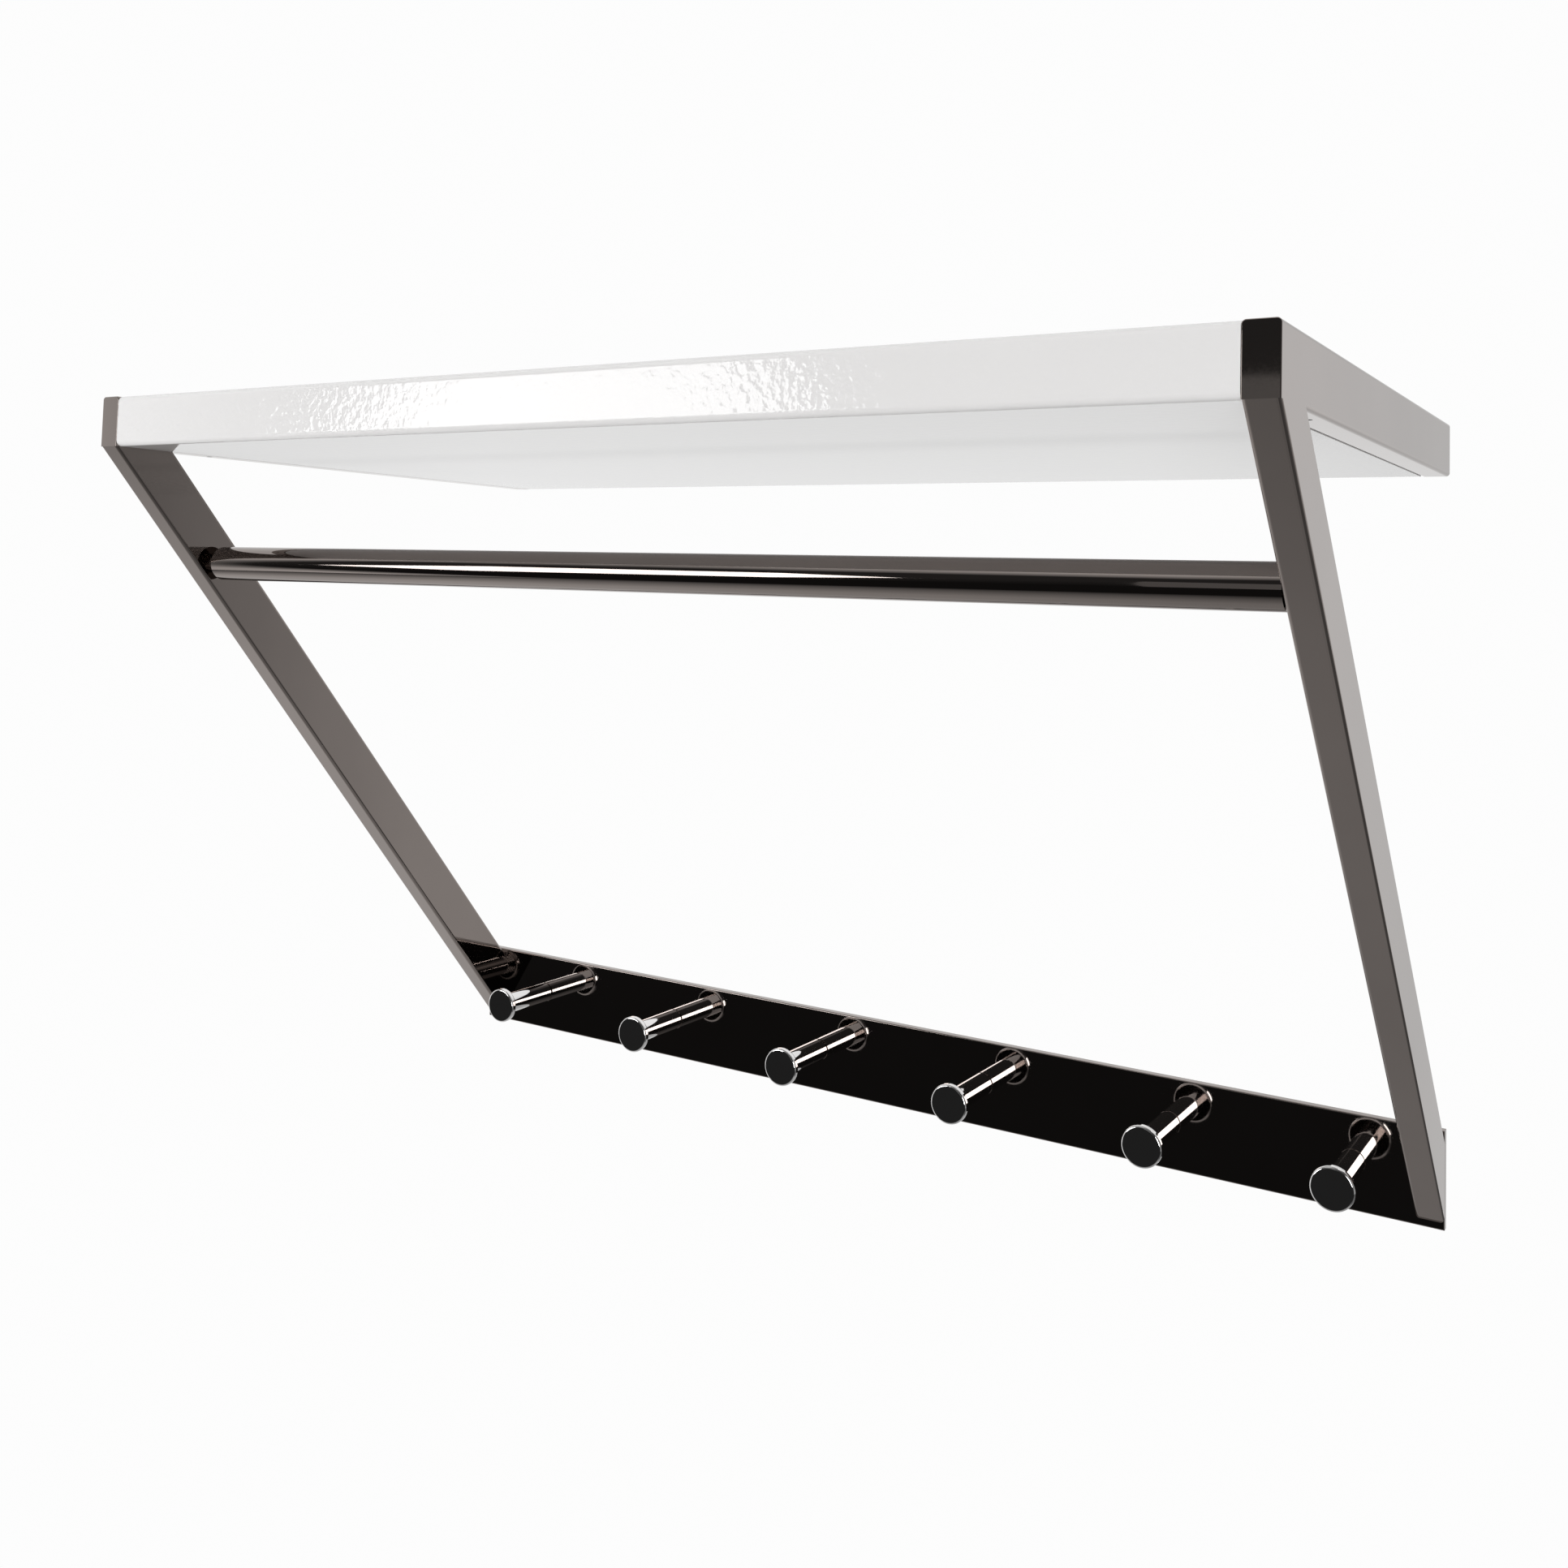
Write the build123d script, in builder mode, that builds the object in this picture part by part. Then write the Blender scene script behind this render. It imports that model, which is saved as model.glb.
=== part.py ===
from build123d import *
import os
from math import asin, atan2, cos, degrees, hypot, tan

os.makedirs("parts", exist_ok=True)

# Wall rack: a lacquered shelf board between two side frames of rectangular tube, a hanging
# rod under it, and a flat rail with turned pegs across the bottom.
# X runs along the rack, Y points into the wall, Z is up. The wall is the plane Y = 0.
# The origin lies on the wall, midway between the entries of the two keyholes.

# Overall size
rack_width = 700.0          # over the outer faces of the side frames
rack_depth = 370.0          # from the wall to the front ends of the arms

# Rectangular tube of the arms and the diagonals
tube_height = 30.0
tube_width = 15.0
tube_wall = 1.5
tube_corner_radius = 2.0
vent_radius = 1.75          # plating vent in the underside of each arm
vent_setback = 32.0         # vent centre behind the back of the diagonal

# Plates that close the arms
front_cap_thickness = 2.0
front_cap_edge_radius = 0.5
hanger_thickness = 2.5
keyhole_entry_radius = 4.5
keyhole_slot_radius = 2.5
keyhole_rise = 8.0          # from the entry up to the seat of the wall screw

# Shelf board
shelf_end_clearance = 0.05  # between each end of the board and its arm
shelf_wall_clearance = 1.0  # between the back of the board and the wall
shelf_front_radius = 3.5    # front edges of the board, top and bottom
shelf_rear_radius = 1.2
pin_radius = 4.0
pin_depth = 25.0            # length of a pin inside the board
pin_inset = 60.0            # pins from the front of the board and from the wall
pin_clearance = 0.05
pin_end_clearance = 1.0

# Rail
rail_height = 53.6
rail_thickness = 5.0
rail_drop = 403.2           # rail centre line below the keyhole entries
rail_edge_radius = 0.8
pad_thickness = 2.0
pad_radius = 7.0

# Pegs
peg_length = 50.3           # from the rail to the front of the head
peg_shaft_radius = 7.0
peg_head_radius = 12.0
peg_head_thickness = 4.5
peg_head_edge_radius = 1.3
peg_root_chamfer = 0.8
first_peg_inset = 55.9      # from the left end of the rail
last_peg_inset = 48.6       # from its right end
last_gap_ratio = 0.865      # last gap between pegs over each of the others
peg_count = 6

# Countersunk screws through the rail
screw_radius = 2.5
screw_head_radius = 5.0
screw_clearance_radius = 2.7
countersink_radius = 5.1
countersink_angle = 90.0
thread_clearance = 0.05
tip_clearance = 1.0
peg_screw_reach = 8.0       # length of a screw inside its peg
foot_thickness = 5.0
foot_screw_reach = 4.5      # length of a screw inside a foot
foot_screw_spacing = 24.0
hex_key_size = 3.0          # across flats
hex_key_depth = 1.8

# Hanging rod
rod_radius = 10.5
rod_wall = 1.5
rod_drop = 82.9             # rod axis below the keyhole entries
rod_setback = 12.5          # rod axis behind the front face of the diagonals, square to it
neck_radius = 6.0
neck_length = 6.5           # bare neck at the left end of the rod
rod_end_clearance = 1.0     # the rod is slid to the right, close to the right diagonal
plug_length = 20.0
plug_clearance = 0.05
plug_chamfer = 0.8
tenon_radius = 3.0
set_screw_radius = 2.0
set_screw_length = 4.5
set_screw_inset = 10.0      # from the neck, along the plug
set_screw_recess = 0.3
set_screw_key_size = 2.0
set_screw_key_depth = 1.5

# Places worked out from the sizes above
arm_underside = -tube_height / 2
shelf_thickness = tube_height  # the board is flush with the arms above and below
inner_face = rack_width / 2 - tube_width
arm_middle = (rack_width - tube_width) / 2
rail_rear_y = -pad_thickness
rail_front_y = rail_rear_y - rail_thickness
rail_z = -rail_drop

# The diagonal starts at the front bottom corner of the arm and its centre line ends at the
# middle of the rail's front face.
lean_run = rack_depth + rail_front_y
lean_fall = rail_drop + arm_underside
lean_reach = hypot(lean_run, lean_fall)
lean = atan2(lean_run, lean_fall) - asin(tube_height / 2 / lean_reach)
diagonal_depth = tube_height / cos(lean)
diagonal_back_y = -rack_depth + diagonal_depth

rod_z = -rod_drop
diagonal_front_at_rod = -rack_depth + (arm_underside - rod_z) * tan(lean)
rod_y = diagonal_front_at_rod + rod_setback / cos(lean)
plug_start = inner_face - neck_length
rod_left_end = -plug_start
rod_right_end = inner_face - rod_end_clearance
set_screw_xs = [side * (plug_start - set_screw_inset) for side in (-1, 1)]

peg_span = rack_width - first_peg_inset - last_peg_inset
peg_pitch = peg_span / (peg_count - 2 + last_gap_ratio)
peg_xs = [-rack_width / 2 + first_peg_inset + n * peg_pitch for n in range(peg_count - 1)]
peg_xs.append(rack_width / 2 - last_peg_inset)
peg_points = [(x, 0) for x in peg_xs]
foot_points = [
    (side * arm_middle, step * foot_screw_spacing / 2) for side in (-1, 1) for step in (-1, 1)
]
pad_xs = [(peg_xs[n] + peg_xs[n + 1]) / 2 for n in range(0, peg_count - 1, 2)]
pin_ys = (-rack_depth + pin_inset, -pin_inset)
hex_key_radius = hex_key_size / 2 / cos(atan2(1, 3**0.5))
set_screw_key_radius = set_screw_key_size / 2 / cos(atan2(1, 3**0.5))

# Rear face of the rail, looking out of it towards the wall
rail_rear = Plane(origin=(0, rail_rear_y, rail_z), x_dir=(1, 0, 0), z_dir=(0, 1, 0))


def countersunk_screws(points, length):
    """Flat-headed screws driven into the rail from behind, heads flush with its rear face."""
    head_height = screw_head_radius - screw_radius
    with BuildPart() as screws:
        with BuildSketch(rail_rear):
            with Locations(*points):
                Circle(screw_head_radius)
        extrude(amount=-head_height, taper=countersink_angle / 2)
        with BuildSketch(rail_rear.offset(-head_height)):
            with Locations(*points):
                Circle(screw_radius)
        extrude(amount=-(length - head_height))
        with BuildSketch(rail_rear):
            with Locations(*points):
                RegularPolygon(radius=hex_key_radius, side_count=6)
        extrude(amount=-hex_key_depth, mode=Mode.SUBTRACT)
    return screws


# Shelf board, with blind holes in both ends for the pins
with BuildPart() as shelf_board:
    with BuildSketch(Plane.XZ.offset(shelf_wall_clearance)):
        Rectangle(2 * (inner_face - shelf_end_clearance), shelf_thickness)
    extrude(amount=rack_depth - shelf_wall_clearance)
    board_edges = shelf_board.edges().filter_by(Axis.X).group_by(Axis.Y)
    fillet(board_edges[0], shelf_front_radius)
    fillet(board_edges[-1], shelf_rear_radius)
    for side in (-1, 1):
        shelf_end = side * (inner_face - shelf_end_clearance)
        with BuildSketch(Plane.YZ.offset(shelf_end)):
            with Locations(*[(y, 0) for y in pin_ys]):
                Circle(pin_radius + pin_clearance)
        extrude(amount=-side * (pin_depth + pin_end_clearance), mode=Mode.SUBTRACT)
shelf_board.part.label = "shelf_board"
export_step(shelf_board.part, "parts/shelf_board.step")

# Dowel pins: each stands against the outer wall of its arm and reaches into the board
with BuildPart() as shelf_pins:
    for side in (-1, 1):
        with BuildSketch(Plane.YZ.offset(side * (rack_width / 2 - tube_wall))):
            with Locations(*[(y, 0) for y in pin_ys]):
                Circle(pin_radius)
        extrude(amount=-side * (tube_width - tube_wall + shelf_end_clearance + pin_depth))
shelf_pins.part.label = "shelf_pins"
export_step(shelf_pins.part, "parts/shelf_pins.step")

for side, hand in ((-1, "left"), (1, "right")):
    arm_x = side * arm_middle

    # Arm, open at both ends, with pin holes in its inner wall and a vent underneath
    with BuildPart() as arm_tube:
        with BuildSketch(Plane.XZ.offset(hanger_thickness)):
            with Locations((arm_x, 0)):
                RectangleRounded(tube_width, tube_height, tube_corner_radius)
                Rectangle(
                    tube_width - 2 * tube_wall, tube_height - 2 * tube_wall, mode=Mode.SUBTRACT
                )
        extrude(amount=rack_depth - front_cap_thickness - hanger_thickness)
        with BuildSketch(Plane.YZ.offset(side * inner_face)):
            with Locations(*[(y, 0) for y in pin_ys]):
                Circle(pin_radius + pin_clearance)
        extrude(amount=side * tube_wall, mode=Mode.SUBTRACT)
        with BuildSketch(Plane.XY.offset(arm_underside)):
            with Locations((arm_x, diagonal_back_y + vent_setback)):
                Circle(vent_radius)
        extrude(amount=tube_wall, mode=Mode.SUBTRACT)
    arm_tube.part.label = f"arm_tube_{hand}"
    export_step(arm_tube.part, f"parts/arm_tube_{hand}.step")

    # Front cap: rounded at the top corners, square where it meets the diagonal
    with BuildPart() as front_cap:
        with BuildSketch(Plane.XZ.offset(rack_depth - front_cap_thickness)) as cap_outline:
            with Locations((arm_x, 0)):
                Rectangle(tube_width, tube_height)
            fillet(cap_outline.vertices().group_by(Axis.Y)[-1], tube_corner_radius)
        extrude(amount=front_cap_thickness)
        cap_rim = front_cap.faces().sort_by(Axis.Y)[0].edges().sort_by(Axis.Z)[1:]
        fillet(cap_rim, front_cap_edge_radius)
    front_cap.part.label = f"front_cap_{hand}"
    export_step(front_cap.part, f"parts/front_cap_{hand}.step")

    # Keyhole plate in the rear end of the arm
    with BuildPart() as wall_hanger:
        with BuildSketch(Plane.XZ):
            with Locations((arm_x, 0)):
                RectangleRounded(tube_width, tube_height, tube_corner_radius)
                Circle(keyhole_entry_radius, mode=Mode.SUBTRACT)
                Rectangle(
                    2 * keyhole_slot_radius,
                    keyhole_rise,
                    align=(Align.CENTER, Align.MIN),
                    mode=Mode.SUBTRACT,
                )
            with Locations((arm_x, keyhole_rise)):
                Circle(keyhole_slot_radius, mode=Mode.SUBTRACT)
        extrude(amount=hanger_thickness)
    wall_hanger.part.label = f"wall_hanger_{hand}"
    export_step(wall_hanger.part, f"parts/wall_hanger_{hand}.step")

    # Arm and cap as one bar, against which the top of the diagonal is coped
    with BuildPart() as arm_outline:
        with BuildSketch(Plane.XZ):
            with Locations((arm_x, 0)):
                RectangleRounded(tube_width, tube_height, tube_corner_radius)
        extrude(amount=rack_depth - front_cap_thickness)
        with BuildSketch(Plane.XZ.offset(rack_depth - front_cap_thickness)):
            with Locations((arm_x, 0)):
                Rectangle(tube_width, tube_height)
        extrude(amount=front_cap_thickness)

    # Cross-section plane of the diagonal, at the middle of the rail's front face
    diagonal_plane = Plane(
        origin=(arm_x, rail_front_y, rail_z), x_dir=(1, 0, 0), z_dir=(0, 0, 1)
    ).rotated((degrees(lean), 0, 0))
    foot_front = Plane.XZ.offset(-rail_front_y + foot_thickness)

    # Diagonal: its top is coped round the arm, its lower end is cut upright behind the foot
    with BuildPart() as diagonal:
        with BuildSketch(diagonal_plane.offset(-tube_height)):
            RectangleRounded(tube_width, tube_height, tube_corner_radius)
            Rectangle(
                tube_width - 2 * tube_wall, tube_height - 2 * tube_wall, mode=Mode.SUBTRACT
            )
        extrude(amount=lean_reach + 2 * tube_height)
        split(bisect_by=Plane.XY.offset(arm_underside + tube_corner_radius), keep=Keep.BOTTOM)
        split(bisect_by=Plane.XZ.offset(rack_depth), keep=Keep.BOTTOM)
        add(arm_outline.part, mode=Mode.SUBTRACT)
        split(bisect_by=foot_front, keep=Keep.TOP)
        with BuildSketch(Plane.YZ.offset(side * inner_face)):
            with Locations((rod_y, rod_z)):
                Circle(tenon_radius + pin_clearance)
        extrude(amount=side * tube_wall, mode=Mode.SUBTRACT)
    diagonal.part.label = f"diagonal_{hand}"
    export_step(diagonal.part, f"parts/diagonal_{hand}.step")

    # Foot: closes the lower end of the diagonal and takes the screws from the rail
    with BuildPart() as diagonal_foot:
        with BuildSketch(diagonal_plane):
            RectangleRounded(tube_width, tube_height, tube_corner_radius)
        extrude(amount=tube_height, both=True)
        split(bisect_by=foot_front, keep=Keep.BOTTOM)
        split(bisect_by=Plane.XZ.offset(-rail_front_y), keep=Keep.TOP)
        with BuildSketch(Plane.XZ.offset(-rail_front_y)):
            with Locations((arm_x, rail_z)):
                with GridLocations(tube_width, foot_screw_spacing, 1, 2):
                    Circle(screw_radius + thread_clearance)
        extrude(amount=foot_thickness, mode=Mode.SUBTRACT)
    diagonal_foot.part.label = f"diagonal_foot_{hand}"
    export_step(diagonal_foot.part, f"parts/diagonal_foot_{hand}.step")

    # Spigot: a tenon in the wall of the diagonal, a neck, and a plug in the rod
    spigot_plane = Plane(
        origin=(side * inner_face, rod_y, rod_z), x_dir=(0, 1, 0), z_dir=(-side, 0, 0)
    )
    with BuildPart() as rod_spigot:
        with BuildSketch(spigot_plane):
            Circle(tenon_radius)
        extrude(amount=-tube_wall)
        with BuildSketch(spigot_plane):
            Circle(neck_radius)
        extrude(amount=neck_length)
        with BuildSketch(spigot_plane.offset(neck_length)):
            Circle(rod_radius - rod_wall - plug_clearance)
        extrude(amount=plug_length)
        plug_end = rod_spigot.faces().filter_by(Axis.X).sort_by(Axis.X)[-1 if side < 0 else 0]
        chamfer(plug_end.edges(), plug_chamfer)
        with BuildSketch(Plane.XZ.offset(-rod_y - rod_radius)):
            with Locations((side * (plug_start - set_screw_inset), rod_z)):
                Circle(set_screw_radius + thread_clearance)
        extrude(amount=set_screw_recess + set_screw_length + tip_clearance, mode=Mode.SUBTRACT)
    rod_spigot.part.label = f"rod_spigot_{hand}"
    export_step(rod_spigot.part, f"parts/rod_spigot_{hand}.step")

# Hanging rod
with BuildPart() as hanging_rod:
    with BuildSketch(Plane.YZ.offset(rod_left_end)):
        with Locations((rod_y, rod_z)):
            Circle(rod_radius)
            Circle(rod_radius - rod_wall, mode=Mode.SUBTRACT)
    extrude(amount=rod_right_end - rod_left_end)
    with BuildSketch(Plane.XZ.offset(-rod_y - rod_radius)):
        with Locations(*[(x, rod_z) for x in set_screw_xs]):
            Circle(set_screw_radius + thread_clearance)
    extrude(amount=rod_radius, mode=Mode.SUBTRACT)
hanging_rod.part.label = "hanging_rod"
export_step(hanging_rod.part, "parts/hanging_rod.step")

# Set screws, from behind through the wall of the rod into the plugs
with BuildPart() as rod_set_screws:
    screw_top = Plane.XZ.offset(-rod_y - rod_radius + set_screw_recess)
    with BuildSketch(screw_top):
        with Locations(*[(x, rod_z) for x in set_screw_xs]):
            Circle(set_screw_radius)
    extrude(amount=set_screw_length)
    with BuildSketch(screw_top):
        with Locations(*[(x, rod_z) for x in set_screw_xs]):
            RegularPolygon(radius=set_screw_key_radius, side_count=6)
    extrude(amount=set_screw_key_depth, mode=Mode.SUBTRACT)
rod_set_screws.part.label = "rod_set_screws"
export_step(rod_set_screws.part, "parts/rod_set_screws.step")

# Rail: a flat bar, countersunk from behind for the pegs and the feet
with BuildPart() as rail_bar:
    with BuildSketch(rail_rear):
        Rectangle(rack_width, rail_height)
    extrude(amount=-rail_thickness)
    fillet(rail_bar.faces().sort_by(Axis.Y)[0].edges(), rail_edge_radius)
    with Locations(rail_rear):
        with Locations(*(peg_points + foot_points)):
            CounterSinkHole(
                screw_clearance_radius, countersink_radius, counter_sink_angle=countersink_angle
            )
rail_bar.part.label = "rail_bar"
export_step(rail_bar.part, "parts/rail_bar.step")

# Pads that keep the rail off the wall
with BuildPart() as wall_pads:
    with BuildSketch(Plane.XZ):
        with Locations(*[(x, rail_z) for x in pad_xs]):
            Circle(pad_radius)
    extrude(amount=pad_thickness)
wall_pads.part.label = "wall_pads"
export_step(wall_pads.part, "parts/wall_pads.step")

# Pegs: a turned shaft with a disc head, drilled and tapped from the rail end
for number, peg_x in enumerate(peg_xs, start=1):
    with BuildPart() as peg:
        with BuildSketch(Plane(origin=(peg_x, rail_front_y, rail_z))):
            with BuildLine():
                Polyline(
                    (0, 0),
                    (peg_shaft_radius - peg_root_chamfer, 0),
                    (peg_shaft_radius, -peg_root_chamfer),
                    (peg_shaft_radius, peg_head_thickness - peg_length),
                    (peg_head_radius, peg_head_thickness - peg_length),
                    (peg_head_radius, -peg_length),
                    (0, -peg_length),
                    close=True,
                )
            make_face()
        revolve(axis=Axis((peg_x, rail_front_y, rail_z), (0, 1, 0)))
        head_rims = peg.edges().filter_by(GeomType.CIRCLE).group_by(SortBy.RADIUS)[-1]
        fillet(head_rims, peg_head_edge_radius)
        with BuildSketch(Plane.XZ.offset(-rail_front_y)):
            with Locations((peg_x, rail_z)):
                Circle(screw_radius + thread_clearance)
        extrude(amount=peg_screw_reach + tip_clearance, mode=Mode.SUBTRACT)
    peg.part.label = f"peg_{number}"
    export_step(peg.part, f"parts/peg_{number}.step")

# Screws into the pegs and into the feet
peg_screws = countersunk_screws(peg_points, rail_thickness + peg_screw_reach)
peg_screws.part.label = "peg_screws"
export_step(peg_screws.part, "parts/peg_screws.step")

foot_screws = countersunk_screws(foot_points, rail_thickness + foot_screw_reach)
foot_screws.part.label = "foot_screws"
export_step(foot_screws.part, "parts/foot_screws.step")
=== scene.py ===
from math import cos, radians, sin

import bpy
from mathutils import Matrix, Vector

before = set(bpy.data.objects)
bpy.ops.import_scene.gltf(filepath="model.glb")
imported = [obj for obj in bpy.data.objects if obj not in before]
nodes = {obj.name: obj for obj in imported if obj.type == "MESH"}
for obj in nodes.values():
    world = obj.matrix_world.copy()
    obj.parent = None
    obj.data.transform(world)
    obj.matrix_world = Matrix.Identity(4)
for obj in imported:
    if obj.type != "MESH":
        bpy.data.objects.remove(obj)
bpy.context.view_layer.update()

# Camera
IMAGE_SIDE = 1932
FOCAL_LENGTH_IN_IMAGE = 1908.6 / IMAGE_SIDE
SENSOR_WIDTH = 36.0
PRINCIPAL_POINT_RISE = 0.1787       # above the middle of the image, over its width
CAMERA_PLACE = Vector((0.4952, -0.9408, -0.0903))
CAMERA_YAW = 0.55964                # to the left of the direction into the wall
CAMERA_PITCH = 0.05613
CAMERA_ROLL = 0.02831
NEAREST_SEEN = 0.01

# Colours
BLACK_CHROME = (0.265, 0.232, 0.216)
BRIGHT_CHROME = (0.76, 0.75, 0.745)
WHITE_LACQUER = (0.86, 0.85, 0.845)
ZINC = (0.60, 0.60, 0.61)
PAD_GREY = (0.05, 0.05, 0.05)

# Heights of surface relief, in metres
FRAME_WAVES = 0.00012
RAIL_WAVES = 0.00005
ROD_WAVES = 0.00002
PEG_WAVES = 0.00001
ORANGE_PEEL = 0.0002
ZINC_GRAIN = 0.00003
PAD_GRAIN = 0.00005

# Drawing lines in the metal, drawn out along one axis
LINES_ALONG_X = (0.02, 1.0, 1.0)
LINES_ALONG_Y = (1.0, 0.02, 1.0)
LINES_ALONG_Z = (1.0, 1.0, 0.02)

# Orange peel is full on what faces the room, and faint elsewhere
PEEL_FACING = (-0.9, -0.5)
PEEL_SHARES = (1.0, 0.12)

# Floor
FLOOR_DROP = 1.4
FLOOR_HALF_WIDTH = 3.0
FLOOR_FRONT = -1.5
FLOOR_BACK = 2.2
FLOOR_COLOUR = (0.16, 0.16, 0.16)
FLOOR_ROUGHNESS = 0.8
FLOOR_ACROSS = (-1.4, 0.1)          # metal shows a painted glow on the floor, brighter on its left side
FLOOR_ACROSS_LEVELS = (0.85, 0.42)
FLOOR_ALONG = (FLOOR_FRONT, -0.3)   # and the painted glow is dimmer along its front edge
FLOOR_ALONG_SHARES = (0.10, 1.0)
FLOOR_FAR_RIGHT = (0.8, 1.1)        # and far to the right
FLOOR_FAR_RIGHT_SHARES = (1.0, 0.35)

# Room, by direction: x to the right, y into the wall, z up
BACKGROUND = 0.98
DARK_SIDE_SPREAD = 0.74             # the dark side reaches 53 degrees to each side
DARK_SIDE_EDGE = (-0.05, 0.05)
DARK_SIDE_TOP = (0.38, 0.65)
DARK_SIDE_RISE = (-0.30, -0.05)     # its top rises over these x
DARK_SIDE_RISE_HEIGHTS = (0.0, 0.25)
DARK_SIDE_HORIZON = (-0.25, 0.1)    # it gets brighter over these z
DARK_SIDE_LEVELS = (0.016, 0.045)
NEAR_RIGHT = (0.3, 0.62)            # the white room is less bright in the places from here on
NEAR_RIGHT_LOSS = 0.28
FAR_RIGHT = (0.70, 0.82)
FAR_RIGHT_LOSS = 0.40
FAR_LEFT = (-0.85, -0.68)
FAR_LEFT_LOSS = 0.14
BACK = (0.80, 0.92)
BACK_LEFT_EDGE = (-0.32, 0.0)
BACK_RIGHT_EDGE = (0.16, 0.25)
BACK_LOSS = 0.24

# Colour sockets of a Mix node, whose names are shared with its other sockets
MIX_FIRST_COLOUR = 6
MIX_SECOND_COLOUR = 7
MIX_COLOUR = 2


def new_material(name):
    """A node material, with its tree and its shader."""
    material = bpy.data.materials.new(name)
    material.use_nodes = True
    tree = material.node_tree
    return material, tree, tree.nodes["Principled BSDF"]


def plug(tree, socket, value):
    """Joins an output socket to an input, or sets the input to a plain value."""
    if isinstance(value, bpy.types.NodeSocket):
        tree.links.new(value, socket)
    else:
        socket.default_value = value


def add_node(tree, kind, settings=(), inputs=()):
    node = tree.nodes.new(kind)
    for name, value in dict(settings).items():
        setattr(node, name, value)
    for name, value in dict(inputs).items():
        plug(tree, node.inputs[name], value)
    return node


def object_coordinates(tree):
    return add_node(tree, "ShaderNodeTexCoord").outputs["Object"]


def separated(tree, vector):
    return add_node(tree, "ShaderNodeSeparateXYZ", inputs={"Vector": vector}).outputs


def light_path(tree):
    return add_node(tree, "ShaderNodeLightPath").outputs


def noise(tree, where, scale, detail=2.0, roughness=0.5):
    inputs = {"Vector": where, "Scale": scale, "Detail": detail, "Roughness": roughness}
    return add_node(tree, "ShaderNodeTexNoise", inputs=inputs).outputs["Fac"]


def remap(tree, value, ins, outs):
    inputs = {
        "Value": value,
        "From Min": ins[0],
        "From Max": ins[1],
        "To Min": outs[0],
        "To Max": outs[1],
    }
    return add_node(tree, "ShaderNodeMapRange", inputs=inputs).outputs["Result"]


def arithmetic(tree, operation, *values):
    node = add_node(tree, "ShaderNodeMath", {"operation": operation})
    for socket, value in zip(node.inputs, values):
        plug(tree, socket, value)
    return node.outputs["Value"]


def stretched(tree, where, factors):
    inputs = {"Vector": where, "Scale": factors}
    return add_node(tree, "ShaderNodeMapping", inputs=inputs).outputs["Vector"]


def blended_colour(tree, factor, first, second):
    mix = add_node(tree, "ShaderNodeMix", {"data_type": "RGBA"}, {"Factor": factor})
    mix.inputs[MIX_FIRST_COLOUR].default_value = (*first, 1.0)
    mix.inputs[MIX_SECOND_COLOUR].default_value = (*second, 1.0)
    return mix.outputs[MIX_COLOUR]


def blended_shader(tree, factor, first, second):
    mix = add_node(tree, "ShaderNodeMixShader", inputs={"Fac": factor})
    tree.links.new(first, mix.inputs[1])
    tree.links.new(second, mix.inputs[2])
    return mix.outputs["Shader"]


def glow(tree, strength):
    return add_node(tree, "ShaderNodeEmission", inputs={"Strength": strength}).outputs["Emission"]


def bump(tree, shader, height, distance):
    node = add_node(tree, "ShaderNodeBump", inputs={"Height": height, "Distance": distance})
    tree.links.new(node.outputs["Normal"], shader.inputs["Normal"])


def shaded(colour, factor):
    return tuple(part * factor for part in colour)


def black_chrome(name, lines_along, wave_height, plating=BLACK_CHROME):
    """Polished plating: faint drawing lines, smudges and a slight waviness."""
    material, tree, shader = new_material(name)
    shader.inputs["Metallic"].default_value = 1.0
    where = object_coordinates(tree)
    smudges = noise(tree, where, scale=9.0, detail=4.0, roughness=0.6)
    lines = noise(tree, stretched(tree, where, lines_along), scale=900.0, detail=1.0)
    tone = remap(tree, smudges, (0.3, 0.7), (0.0, 1.0))
    colour = blended_colour(tree, tone, shaded(plating, 0.96), shaded(plating, 1.04))
    tree.links.new(colour, shader.inputs["Base Color"])
    haze = remap(tree, smudges, (0.35, 0.75), (0.025, 0.055))
    streaks = remap(tree, lines, (0.3, 0.7), (-0.01, 0.015))
    tree.links.new(arithmetic(tree, "ADD", haze, streaks), shader.inputs["Roughness"])
    waves = noise(tree, where, scale=14.0, detail=1.0)
    bump(tree, shader, waves, wave_height)
    return material


def white_lacquer(name):
    """High-gloss white lacquer, with orange peel on the edge that faces the room."""
    material, tree, shader = new_material(name)
    where = object_coordinates(tree)
    tone = remap(tree, noise(tree, where, scale=3.0, detail=3.0), (0.3, 0.7), (0.0, 1.0))
    colour = blended_colour(tree, tone, shaded(WHITE_LACQUER, 0.985), WHITE_LACQUER)
    tree.links.new(colour, shader.inputs["Base Color"])
    haze = remap(tree, noise(tree, where, scale=12.0, detail=5.0), (0.35, 0.75), (0.008, 0.03))
    tree.links.new(haze, shader.inputs["Roughness"])
    normal = add_node(tree, "ShaderNodeNewGeometry").outputs["Normal"]
    share = remap(tree, separated(tree, normal)["Y"], PEEL_FACING, PEEL_SHARES)
    peel = noise(tree, where, scale=230.0, detail=2.0, roughness=0.5)
    centred_peel = arithmetic(tree, "SUBTRACT", peel, 0.5)
    bump(tree, shader, arithmetic(tree, "MULTIPLY", centred_peel, share), ORANGE_PEEL)
    return material


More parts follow.
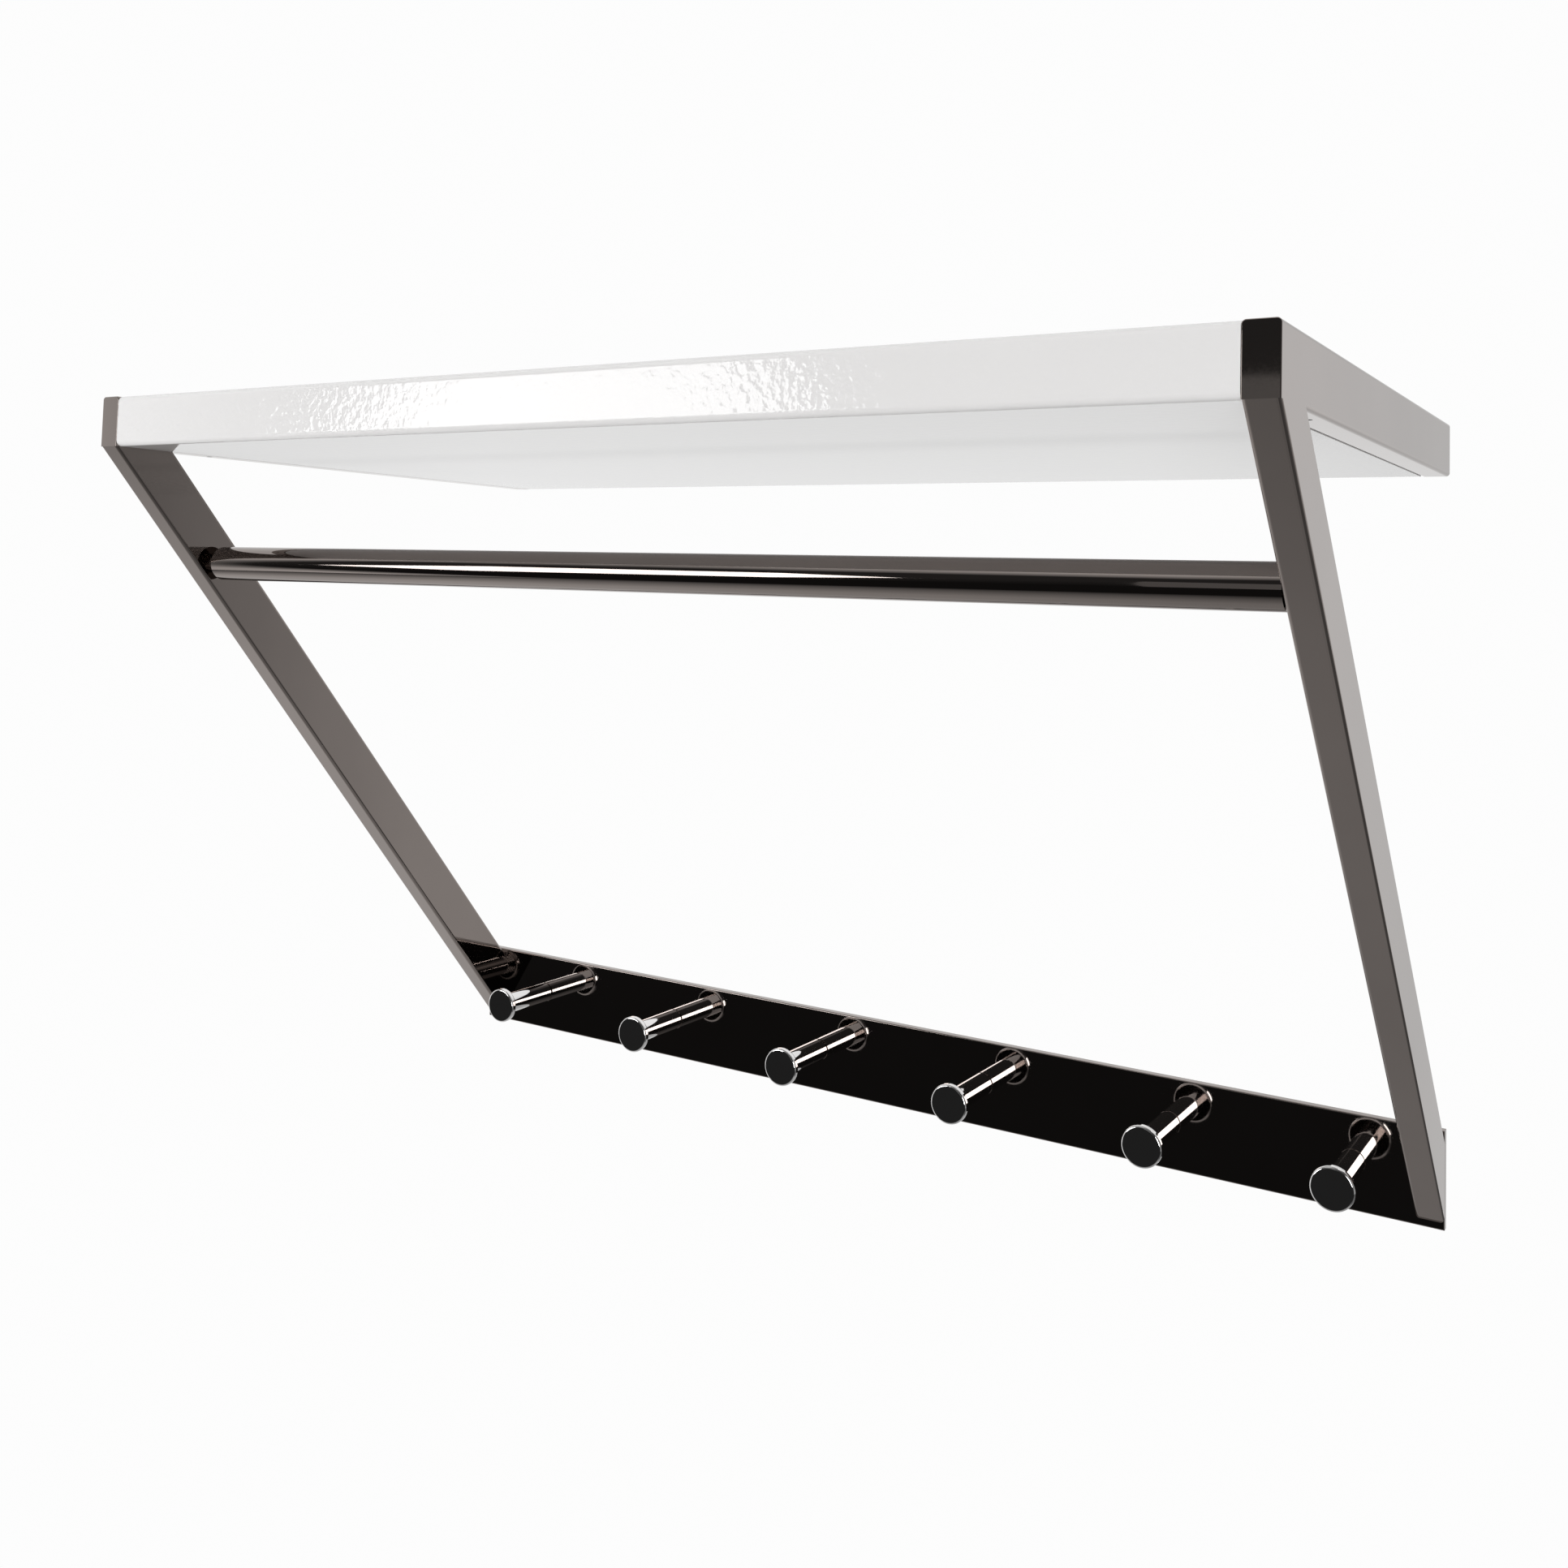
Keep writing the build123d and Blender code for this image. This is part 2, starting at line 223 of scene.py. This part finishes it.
def zinc_steel(name):
    material, tree, shader = new_material(name)
    shader.inputs["Metallic"].default_value = 1.0
    where = object_coordinates(tree)
    spots = noise(tree, where, scale=400.0, detail=3.0)
    colour = blended_colour(tree, spots, shaded(ZINC, 0.85), ZINC)
    tree.links.new(colour, shader.inputs["Base Color"])
    tree.links.new(remap(tree, spots, (0.2, 0.8), (0.24, 0.4)), shader.inputs["Roughness"])
    bump(tree, shader, noise(tree, where, scale=1500.0), ZINC_GRAIN)
    return material


def pad_rubber(name):
    material, tree, shader = new_material(name)
    where = object_coordinates(tree)
    grain = noise(tree, where, scale=1200.0, detail=3.0)
    colour = blended_colour(tree, grain, shaded(PAD_GREY, 0.7), shaded(PAD_GREY, 1.3))
    tree.links.new(colour, shader.inputs["Base Color"])
    tree.links.new(remap(tree, grain, (0.2, 0.8), (0.6, 0.8)), shader.inputs["Roughness"])
    bump(tree, shader, grain, PAD_GRAIN)
    return material


def dress(names, material):
    """Puts one material on all material slots of the named CAD nodes."""
    for name in names:
        for slot in nodes[name].material_slots:
            slot.material = material


def named(start):
    return [name for name in nodes if name.startswith(start)]


def dress_all():
    dress(named("shelf_board"), white_lacquer("white_lacquer"))
    frame_metal = black_chrome("frame_metal", LINES_ALONG_Y, FRAME_WAVES)
    for start in ("arm_tube", "front_cap", "wall_hanger", "diagonal"):
        dress(named(start), frame_metal)
    dress(named("rail_bar"), black_chrome("rail_metal", LINES_ALONG_X, RAIL_WAVES))
    rod_metal = black_chrome("rod_metal", LINES_ALONG_X, ROD_WAVES)
    dress(named("hanging_rod") + named("rod_spigot"), rod_metal)
    pegs = [name for name in named("peg_") if name != "peg_screws"]
    dress(pegs, black_chrome("peg_metal", LINES_ALONG_Z, PEG_WAVES, BRIGHT_CHROME))
    steel = zinc_steel("zinc_steel")
    dress(["peg_screws", "foot_screws", "rod_set_screws", "shelf_pins"], steel)
    dress(named("wall_pads"), pad_rubber("pad_rubber"))


def add_face(name, corners):
    """A stage object of one flat face."""
    mesh = bpy.data.meshes.new(name)
    mesh.from_pydata(corners, [], [range(len(corners))])
    thing = bpy.data.objects.new(name, mesh)
    bpy.context.scene.collection.objects.link(thing)
    return thing


def floor_material():
    """Plain grey. The camera sees it white, and metal shows a painted glow on it, brighter on the
    left and behind.
    """
    material, tree, shader = new_material("floor")
    shader.inputs["Base Color"].default_value = (*FLOOR_COLOUR, 1.0)
    shader.inputs["Roughness"].default_value = FLOOR_ROUGHNESS
    where = separated(tree, object_coordinates(tree))
    # The floor's painted glow, seen only in metal: painted light and shade standing in for how
    # the floor is lit.
    across = remap(tree, where["X"], FLOOR_ACROSS, FLOOR_ACROSS_LEVELS)
    along = remap(tree, where["Y"], FLOOR_ALONG, FLOOR_ALONG_SHARES)
    far_right = remap(tree, where["X"], FLOOR_FAR_RIGHT, FLOOR_FAR_RIGHT_SHARES)
    tone = arithmetic(tree, "MULTIPLY", arithmetic(tree, "MULTIPLY", across, along), far_right)
    rays = light_path(tree)
    plain = shader.outputs["BSDF"]
    # Glossy rays see the painted glow instead of the grey floor: a painted reflection.
    painted_glow_in_metal = blended_shader(tree, rays["Is Glossy Ray"], plain, glow(tree, tone))
    seen = blended_shader(tree, rays["Is Camera Ray"], painted_glow_in_metal, glow(tree, BACKGROUND))
    tree.links.new(seen, tree.nodes["Material Output"].inputs["Surface"])
    return material


def add_floor():
    corners = [
        (x, y, -FLOOR_DROP)
        for x, y in (
            (-FLOOR_HALF_WIDTH, FLOOR_FRONT),
            (FLOOR_HALF_WIDTH, FLOOR_FRONT),
            (FLOOR_HALF_WIDTH, FLOOR_BACK),
            (-FLOOR_HALF_WIDTH, FLOOR_BACK),
        )
    ]
    floor = add_face("floor", corners)
    floor.data.materials.append(floor_material())


def softbox_material(name, radiance):
    material, tree, shader = new_material(name)
    tree.nodes.remove(shader)
    tree.links.new(glow(tree, radiance), tree.nodes["Material Output"].inputs["Surface"])
    return material


def add_softbox(
    name, target, distance, azimuth, elevation, width, height, radiance, ends=1.0, mirrored=True
):
    """A glowing panel that faces the target, at an azimuth left of the view out of the wall.

    It has six corners. Its top and bottom edges are the share "ends" of its full width, which it
    has halfway up. Metal doesn't show a panel that isn't mirrored.
    """
    azimuth = radians(azimuth)
    elevation = radians(elevation)
    across = Vector((-cos(azimuth), sin(azimuth), 0.0))
    away = Vector(
        (-sin(azimuth) * cos(elevation), -cos(azimuth) * cos(elevation), sin(elevation))
    )
    upward = across.cross(away)
    if upward.z < 0:
        upward = -upward
    middle = Vector(target) + distance * away
    corners = [
        middle + a * across * width / 2 + b * upward * height / 2
        for a, b in ((-ends, -1), (ends, -1), (1, 0), (ends, 1), (-ends, 1), (-1, 0))
    ]
    panel = add_face(name, corners)
    panel.data.materials.append(softbox_material(name, radiance))
    panel.visible_camera = False
    panel.visible_glossy = mirrored


def add_softboxes():
    add_softbox(
        "softbox_left", target=(0.0, -0.3, 0.0), distance=3.0, azimuth=38.3, elevation=0.5,
        width=1.41, height=1.05, radiance=5.2, ends=0.525,
    )
    add_softbox(
        "softbox_right", target=(0.0, 0.0, -0.4), distance=1.9, azimuth=-31.0, elevation=4.0,
        width=0.48, height=0.68, radiance=8.0,
    )
    add_softbox(
        "softbox_weak", target=(0.3, -0.3, 0.0), distance=3.0, azimuth=14.0, elevation=-3.5,
        width=0.6, height=1.2, radiance=0.22,
    )
    add_softbox(
        "softbox_fill", target=(-0.3, -0.37, 0.0), distance=1.4, azimuth=35.0, elevation=-6.0,
        width=0.5, height=0.5, radiance=13.4, mirrored=False,
    )
    add_softbox(
        "softbox_low", target=(0.0, -0.37, 0.0), distance=1.3, azimuth=0.0, elevation=-60.0,
        width=2.0, height=0.5, radiance=1.6, mirrored=False,
    )


def dark_side(tree, x, y, z):
    """The share of the room's light that is left: 1, and close to 0 behind the camera."""
    spread = arithmetic(tree, "MULTIPLY", arithmetic(tree, "ABSOLUTE", x), DARK_SIDE_SPREAD)
    front = remap(tree, arithmetic(tree, "ADD", y, spread), DARK_SIDE_EDGE, (1.0, 0.0))
    rise = remap(tree, x, DARK_SIDE_RISE, DARK_SIDE_RISE_HEIGHTS)
    below_top = remap(tree, arithmetic(tree, "SUBTRACT", z, rise), DARK_SIDE_TOP, (1.0, 0.0))
    darkness = arithmetic(tree, "MULTIPLY", front, below_top)
    level = remap(tree, z, DARK_SIDE_HORIZON, DARK_SIDE_LEVELS)
    lost = arithmetic(tree, "MULTIPLY", darkness, arithmetic(tree, "SUBTRACT", 1.0, level))
    return arithmetic(tree, "SUBTRACT", 1.0, lost)


def white_side(tree, x, y):
    """The room's own level: 1, and less on the right, at the back and on the far left."""
    near_right = remap(tree, x, NEAR_RIGHT, (0.0, NEAR_RIGHT_LOSS))
    far_right = remap(tree, x, FAR_RIGHT, (0.0, FAR_RIGHT_LOSS))
    far_left = remap(tree, x, FAR_LEFT, (FAR_LEFT_LOSS, 0.0))
    right_of_left_edge = remap(tree, x, BACK_LEFT_EDGE, (0.0, 1.0))
    left_of_right_edge = remap(tree, x, BACK_RIGHT_EDGE, (1.0, 0.0))
    back = arithmetic(tree, "MULTIPLY", right_of_left_edge, left_of_right_edge)
    back = arithmetic(tree, "MULTIPLY", back, remap(tree, y, BACK, (0.0, BACK_LOSS)))
    level = arithmetic(tree, "SUBTRACT", 1.0, arithmetic(tree, "ADD", near_right, far_right))
    level = arithmetic(tree, "SUBTRACT", level, back)
    return arithmetic(tree, "SUBTRACT", level, far_left)


def add_world():
    """White to the camera. To the object: a white room with a dark side behind the camera."""
    world = bpy.data.worlds.new("studio")
    bpy.context.scene.world = world
    world.use_nodes = True
    tree = world.node_tree
    plain = tree.nodes["Background"]
    plain.inputs["Strength"].default_value = BACKGROUND
    plain.inputs["Color"].default_value = (1.0, 1.0, 1.0, 1.0)
    axes = separated(tree, add_node(tree, "ShaderNodeTexCoord").outputs["Generated"])
    x, y, z = axes["X"], axes["Y"], axes["Z"]
    level = arithmetic(tree, "MULTIPLY", white_side(tree, x, y), dark_side(tree, x, y, z))
    room = add_node(tree, "ShaderNodeBackground", inputs={"Strength": level})
    room.inputs["Color"].default_value = (1.0, 1.0, 1.0, 1.0)
    room_light = room.outputs["Background"]
    camera_ray = light_path(tree)["Is Camera Ray"]
    seen = blended_shader(tree, camera_ray, room_light, plain.outputs["Background"])
    tree.links.new(seen, tree.nodes["World Output"].inputs["Surface"])


def add_camera():
    ahead = Vector(
        (
            -sin(CAMERA_YAW) * cos(CAMERA_PITCH),
            cos(CAMERA_YAW) * cos(CAMERA_PITCH),
            sin(CAMERA_PITCH),
        )
    )
    level = Vector((cos(CAMERA_YAW), sin(CAMERA_YAW), 0.0))
    upright = level.cross(ahead)
    right = cos(CAMERA_ROLL) * level + sin(CAMERA_ROLL) * upright
    up = cos(CAMERA_ROLL) * upright - sin(CAMERA_ROLL) * level
    lens = bpy.data.cameras.new("camera")
    lens.sensor_width = SENSOR_WIDTH
    lens.lens = FOCAL_LENGTH_IN_IMAGE * SENSOR_WIDTH
    lens.shift_y = -PRINCIPAL_POINT_RISE
    lens.clip_start = NEAREST_SEEN
    camera = bpy.data.objects.new("camera", lens)
    turn = Matrix((right, up, -ahead)).transposed().to_4x4()
    camera.matrix_world = Matrix.Translation(CAMERA_PLACE) @ turn
    bpy.context.scene.collection.objects.link(camera)
    bpy.context.scene.camera = camera


dress_all()
add_floor()
add_softboxes()
add_world()
add_camera()
bpy.context.scene.view_settings.view_transform = "Standard"
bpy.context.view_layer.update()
